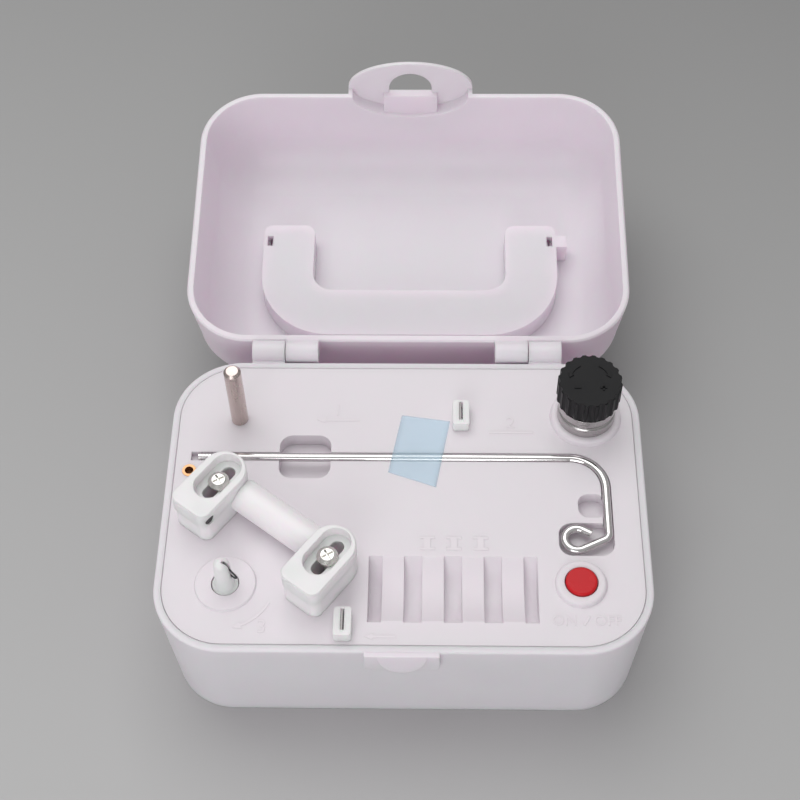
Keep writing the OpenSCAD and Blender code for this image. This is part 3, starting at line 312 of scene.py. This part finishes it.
# metals: colour, gloss, stretch of the streaks, bump, edge radius
metalSet = {
    "rodNickel": ((0.72, 0.70, 0.70), 0.06, (90, 1400, 1400), 0.02, 0.0),
    "pinNickel": ((0.60, 0.51, 0.48), 0.20, (1300, 1300, 110), 0.03, 0.0002),
    "discSteel": ((0.50, 0.48, 0.48), 0.20, (300, 300, 2600), 0.05, 0.0002),
    "screwZinc": ((0.74, 0.73, 0.70), 0.22, (900, 900, 900), 0.04, 0.00015),
    "springSteel": ((0.10, 0.10, 0.105), 0.30, (900, 900, 200), 0.03, 0.0),
    "clipSteel": ((0.24, 0.23, 0.23), 0.30, (900, 900, 200), 0.03, 0.0),
    "turnedBrass": ((0.60, 0.34, 0.18), 0.24, (700, 700, 2600), 0.06, 0.0),
    "motorZinc": ((0.52, 0.52, 0.54), 0.34, (500, 500, 90), 0.04, 0.0003),
}
metalShared = {"Metallic": 1.0}
# clear blue film, a little cloudy where it has been pressed down
filmSet = {
    "effect": {"Color": (0.62, 0.86, 1.0, 1), "Scale": 500, "Gloss": 0.22, "Cloud": 0.06},
    "constants": {"Alpha": 0.27},
    "strength": 0.05,
    "edge": 0.0,
}
# depth of the relief in metres
grainDepth = 0.0003
streakDepth = 0.0002
finish = {}


def softEdges(tree, shader, height, strength, depth, edge):
    bump = addNode(tree, "ShaderNodeBump", {"Strength": strength, "Distance": depth})
    tree.links.new(height, bump.inputs["Height"])
    if edge:
        rounded = addNode(tree, "ShaderNodeBevel", {"Radius": edge}, samples=6)
        tree.links.new(rounded.outputs["Normal"], bump.inputs["Normal"])
    tree.links.new(bump.outputs["Normal"], shader.inputs["Normal"])


# one finish: a shared effect gives colour, gloss and relief, and the shader keeps its constants
def makeFinish(name, group, effect, constants, relief):
    mat, tree, shader = startMaterial(name)
    g = addNode(tree, "ShaderNodeGroup", effect, node_tree=group)
    tree.links.new(g.outputs["Color"], shader.inputs["Base Color"])
    tree.links.new(g.outputs["Roughness"], shader.inputs["Roughness"])
    for socket, value in constants.items():
        shader.inputs[socket].default_value = value
    softEdges(tree, shader, g.outputs["Height"], *relief)
    finish[name] = mat


def makePlastic(name, spec):
    colour, gloss, scale, strength, edge, cloud, shine, through = spec
    effect = {"Color": (*colour, 1), "Scale": scale, "Gloss": gloss, "Cloud": cloud}
    constants = {**plasticShared, "Specular IOR Level": shine, "Subsurface Weight": through}
    makeFinish(name, grain, effect, constants, (strength, grainDepth, edge))


def makeMetal(name, spec):
    colour, gloss, stretch, strength, edge = spec
    effect = {"Color": (*colour, 1), "Stretch": stretch, "Gloss": gloss}
    makeFinish(name, streaks, effect, metalShared, (strength, streakDepth, edge))


def makeFilm(name, f):
    makeFinish(name, grain, f["effect"], f["constants"], (f["strength"], grainDepth, f["edge"]))


for name, spec in plasticSet.items():
    makePlastic(name, spec)
for name, spec in metalSet.items():
    makeMetal(name, spec)
makeFilm("tapeFilm", filmSet)

# which solids wear which finish
nodeFinish = {
    "shellPlastic": ["base_shell", "lid_shell", "handle", "base_pan", "battery_door"],
    "deckPlastic": ["deck_plate"],
    "gaugePlastic": ["gauge_base", "gauge_caps", "thread_clips", "bobbin_post", "spindle_gear",
                     "gear_plate"],
    "knobPlastic": ["tension_knob", "dc_inlet", "switch_plunger"],
    "buttonPlastic": ["push_button"],
    "lensPlastic": ["beam_sender"],
    "darkLens": ["beam_receiver"],
    "gripRubber": ["grip_pads"],
    "boardMask": ["control_board"],
    "cellSleeve": ["battery_cells"],
    "rodNickel": ["guide_rod"],
    "pinNickel": ["spool_pin"],
    "discSteel": ["lower_disc", "upper_disc", "tension_spring", "thrust_washer", "tension_stud",
                  "push_switch", "battery_contacts", "hinge_pins", "handle_pins", "spindle_shaft",
                  "motor_shaft"],
    "screwZinc": ["pan_screws", "gauge_screws", "motor_screws", "plate_screws", "board_screws"],
    "springSteel": ["spindle_spring"],
    "clipSteel": ["clip_plates"],
    "turnedBrass": ["brass_insert", "upper_bush", "lower_bush", "motor_pinion"],
    "motorZinc": ["motor"],
    "tapeFilm": ["transit_tape"],
}
for name, members in nodeFinish.items():
    for member in members:
        mesh = nodes[member].data
        mesh.materials.clear()
        mesh.materials.append(finish[name])
print("finishes on:", len(finish))


# helpers for raised marks: flat outlines in millimetres that become low solids
def dress(obj, body, material):
    obj.data.materials.append(finish[material])
    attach(obj, body)


def place(bm, at):
    bmesh.ops.translate(bm, verts=bm.verts, vec=Vector((at[0] * mm, at[1] * mm, 0)))


def flatText(word, size, fontScale=1.35):
    curve = bpy.data.curves.new("word", "FONT")
    curve.body = word
    curve.size = size * mm * fontScale
    curve.align_x = "CENTER"
    curve.align_y = "CENTER"
    curve.resolution_u = 4
    obj = linkObject("word", curve)
    mesh = bpy.data.meshes.new_from_object(obj)
    bm = bmesh.new()
    bm.from_mesh(mesh)
    bpy.data.objects.remove(obj)
    bpy.data.curves.remove(curve)
    bpy.data.meshes.remove(mesh)
    bmesh.ops.remove_doubles(bm, verts=bm.verts, dist=1e-6)
    return bm


def flatShape(points):
    bm = bmesh.new()
    bm.faces.new([bm.verts.new((x * mm, y * mm, 0)) for x, y in points])
    return bm


def raiseFlat(bm, top, height, sunk):
    # the outline stands as high as asked on the face at top, with its foot sunk below it
    bmesh.ops.recalc_face_normals(bm, faces=bm.faces)
    for face in bm.faces:
        if face.normal.z > 0:
            face.normal_flip()
    made = bmesh.ops.extrude_face_region(bm, geom=list(bm.faces))
    lifted = [v for v in made["geom"] if isinstance(v, bmesh.types.BMVert)]
    bmesh.ops.translate(bm, verts=lifted, vec=(0, 0, (height + sunk) * mm))
    bmesh.ops.translate(bm, verts=bm.verts, vec=(0, 0, (top - sunk) * mm))
    bmesh.ops.recalc_face_normals(bm, faces=bm.faces)


def joinShapes(name, shapes):
    whole = bmesh.new()
    for bm in shapes:
        part = bpy.data.meshes.new("part")
        bm.to_mesh(part)
        bm.free()
        whole.from_mesh(part)
        bpy.data.meshes.remove(part)
    return meshObject(name, whole)


def arrowPoints(tail, tip, width=0.9, head=3.0, spread=0.42):
    a, b = Vector(tail), Vector(tip)
    d = (b - a).normalized()
    n = Vector((-d.y, d.x))
    neck = b - d * head
    w = n * width / 2
    h = n * head * spread
    return [a - w, neck - w, neck - h, b, neck + h, neck + w, a + w]


def curvePoints(c, steps=14, flare=3):
    # a bent arrow: its head is wider than the line by the flare
    mid = Vector(c["centre"])
    r, w = c["radius"], c["width"] / 2
    span = [math.radians(c["from"] + (c["to"] - c["from"]) * i / steps) for i in range(steps + 1)]
    ray = [Vector((math.cos(a), math.sin(a))) for a in span]
    end = ray[-1]
    on = Vector((end.y, -end.x))
    tip = mid + end * r + on * c["tip"]
    outer = [mid + d * (r + w) for d in ray] + [mid + end * (r + flare * w)]
    inner = [mid + end * (r - flare * w)] + [mid + d * (r - w) for d in reversed(ray)]
    return outer + [tip] + inner


def barPoints(a, b, width):
    a, b = Vector(a), Vector(b)
    d = (b - a).normalized()
    n = Vector((-d.y, d.x)) * width / 2
    return [a - n, b - n, b + n, a + n]


def boxPoints(x, y, w, h):
    left, right = x - w / 2, x + w / 2
    low, high = y - h / 2, y + h / 2
    return [(left, low), (right, low), (right, high), (left, high)]


# raised marks on the deck: figures, arrows, words by the switch and bobbin shapes by the storage row
markSet = {
    "height": 0.13,
    "sunk": 0.1,
    "words": [
        # text, place, size
        ("1", (-24.2, 36.6), 5.0),
        ("2", (37.2, 31.6), 5.0),
        ("3", (-46.0, -49.2), 5.0),
        ("ON", (52.9, -46.2), 3.9),
        ("OFF", (67.1, -46.2), 3.9),
    ],
    "arrows": [
        # tail, tip
        ((-16.5, 32.6), (-31.5, 32.6)),
        ((-2.0, -52.3), (-12.5, -52.3)),
    ],
    "bars": [
        # from, to, width
        ((29.5, 27.6), (45.0, 27.6), 0.9),
        ((59.2, -47.7), (61.2, -44.5), 0.8),
    ],
    "curve": {"centre": (-59.0, -33.5), "radius": 16.2, "from": -24, "to": -68, "width": 0.9, "tip": 2.8},
    "bobbins": {"row": (17.0, -17.4), "step": 9.0, "count": 3, "flange": (5.2, 0.9), "core": (2.2, 3.4)},
}


def bobbinOutlines(b):
    outlines = []
    y = b["row"][1]
    lift = (b["core"][1] + b["flange"][1]) / 2
    for i in range(b["count"]):
        x = b["row"][0] + (i - (b["count"] - 1) / 2) * b["step"]
        outlines.append(boxPoints(x, y, *b["core"]))
        outlines += [boxPoints(x, y + side * lift, *b["flange"]) for side in (-1, 1)]
    return outlines


def makeMarks(m):
    shapes = []
    for word, at, size in m["words"]:
        bm = flatText(word, size)
        place(bm, at)
        shapes.append(bm)
    outlines = [arrowPoints(*a) for a in m["arrows"]]
    outlines += [barPoints(*b) for b in m["bars"]]
    outlines.append(curvePoints(m["curve"]))
    outlines += bobbinOutlines(m["bobbins"])
    shapes += [flatShape(points) for points in outlines]
    for bm in shapes:
        raiseFlat(bm, deckTop, m["height"], m["sunk"])
    obj = joinShapes("deckMarks", shapes)
    dress(obj, "base", "markPlastic")


makeMarks(markSet)
print("deck marked")

# the film over the rod: corners on the deck in millimetres, lean in degrees
tapeSet = {
    "corners": [(-1.3, 34.7), (15.8, 32.2), (10.9, 4.7), (-5.8, 10.7)],
    "flat": (17.0, 27.5),
    "cuts": (10, 44),
    "thick": 0.08,
    "rodY": 17.1,
    "rodZ": 49.4,
    "rodR": 1.5,
    "clear": 0.10,
    "lean": 32,
    "smooth": 0.4,
}


def tapeHeight(y, t):
    # the film lies on the deck, rises in a straight run and turns over the rod
    away = abs(y - t["rodY"])
    reach = t["rodR"] + t["clear"]
    lean = math.radians(t["lean"])
    if away < reach * math.sin(lean):
        return t["rodZ"] + math.sqrt(reach * reach - away * away)
    return max(deckTop + t["clear"], t["rodZ"] + reach / math.cos(lean) - away * math.tan(lean))


def makeTape(t):
    bm = bmesh.new()
    bmesh.ops.create_grid(bm, x_segments=t["cuts"][0], y_segments=t["cuts"][1], size=0.5)
    a, b, c, d = (Vector(p) for p in t["corners"])
    for v in bm.verts:
        u, w = v.co.x + 0.5, v.co.y + 0.5
        bottom = d.lerp(c, u)
        top = a.lerp(b, u)
        p = bottom.lerp(top, w)
        v.co = Vector((p.x, p.y, tapeHeight(p.y, t))) * mm
    bmesh.ops.smooth_vert(bm, verts=bm.verts, factor=t["smooth"], use_axis_z=True)
    obj = meshObject("blueTape", bm)
    for face in obj.data.polygons:
        face.use_smooth = True
    film = obj.modifiers.new("film", "SOLIDIFY")
    film.thickness = t["thick"] * mm
    film.offset = 1.0
    dress(obj, "rod", "tapeFilm")
    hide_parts("transit_tape")


makeTape(tapeSet)
print("tape laid")

# raised turn marks on the knob's top: a bent arrow each way with a plus and a minus
knobSet = {
    "at": (63.75, 34.2),
    "top": 72.6,
    "height": 0.3,
    "sunk": 0.1,
    "bend": {"centre": (0, 0), "radius": 7.0, "from": 62, "to": 22, "width": 0.7, "tip": 1.6},
    "plus": (4.4, -3.0),
    "minus": (-4.4, -3.0),
    "stroke": (2.3, 0.7),
}


def makeKnobMarks(k):
    length, width = k["stroke"]
    bend = curvePoints(k["bend"])
    outlines = [[(side * x, y) for x, y in bend] for side in (1, -1)]
    outlines.append(boxPoints(*k["minus"], length, width))
    outlines.append(boxPoints(*k["plus"], length, width))
    outlines.append(boxPoints(*k["plus"], width, length))
    shapes = [flatShape(points) for points in outlines]
    for bm in shapes:
        raiseFlat(bm, k["top"], k["height"], k["sunk"])
        place(bm, k["at"])
    obj = joinShapes("knobMarks", shapes)
    dress(obj, "knob", "knobPlastic")


makeKnobMarks(knobSet)
print("knob marked")
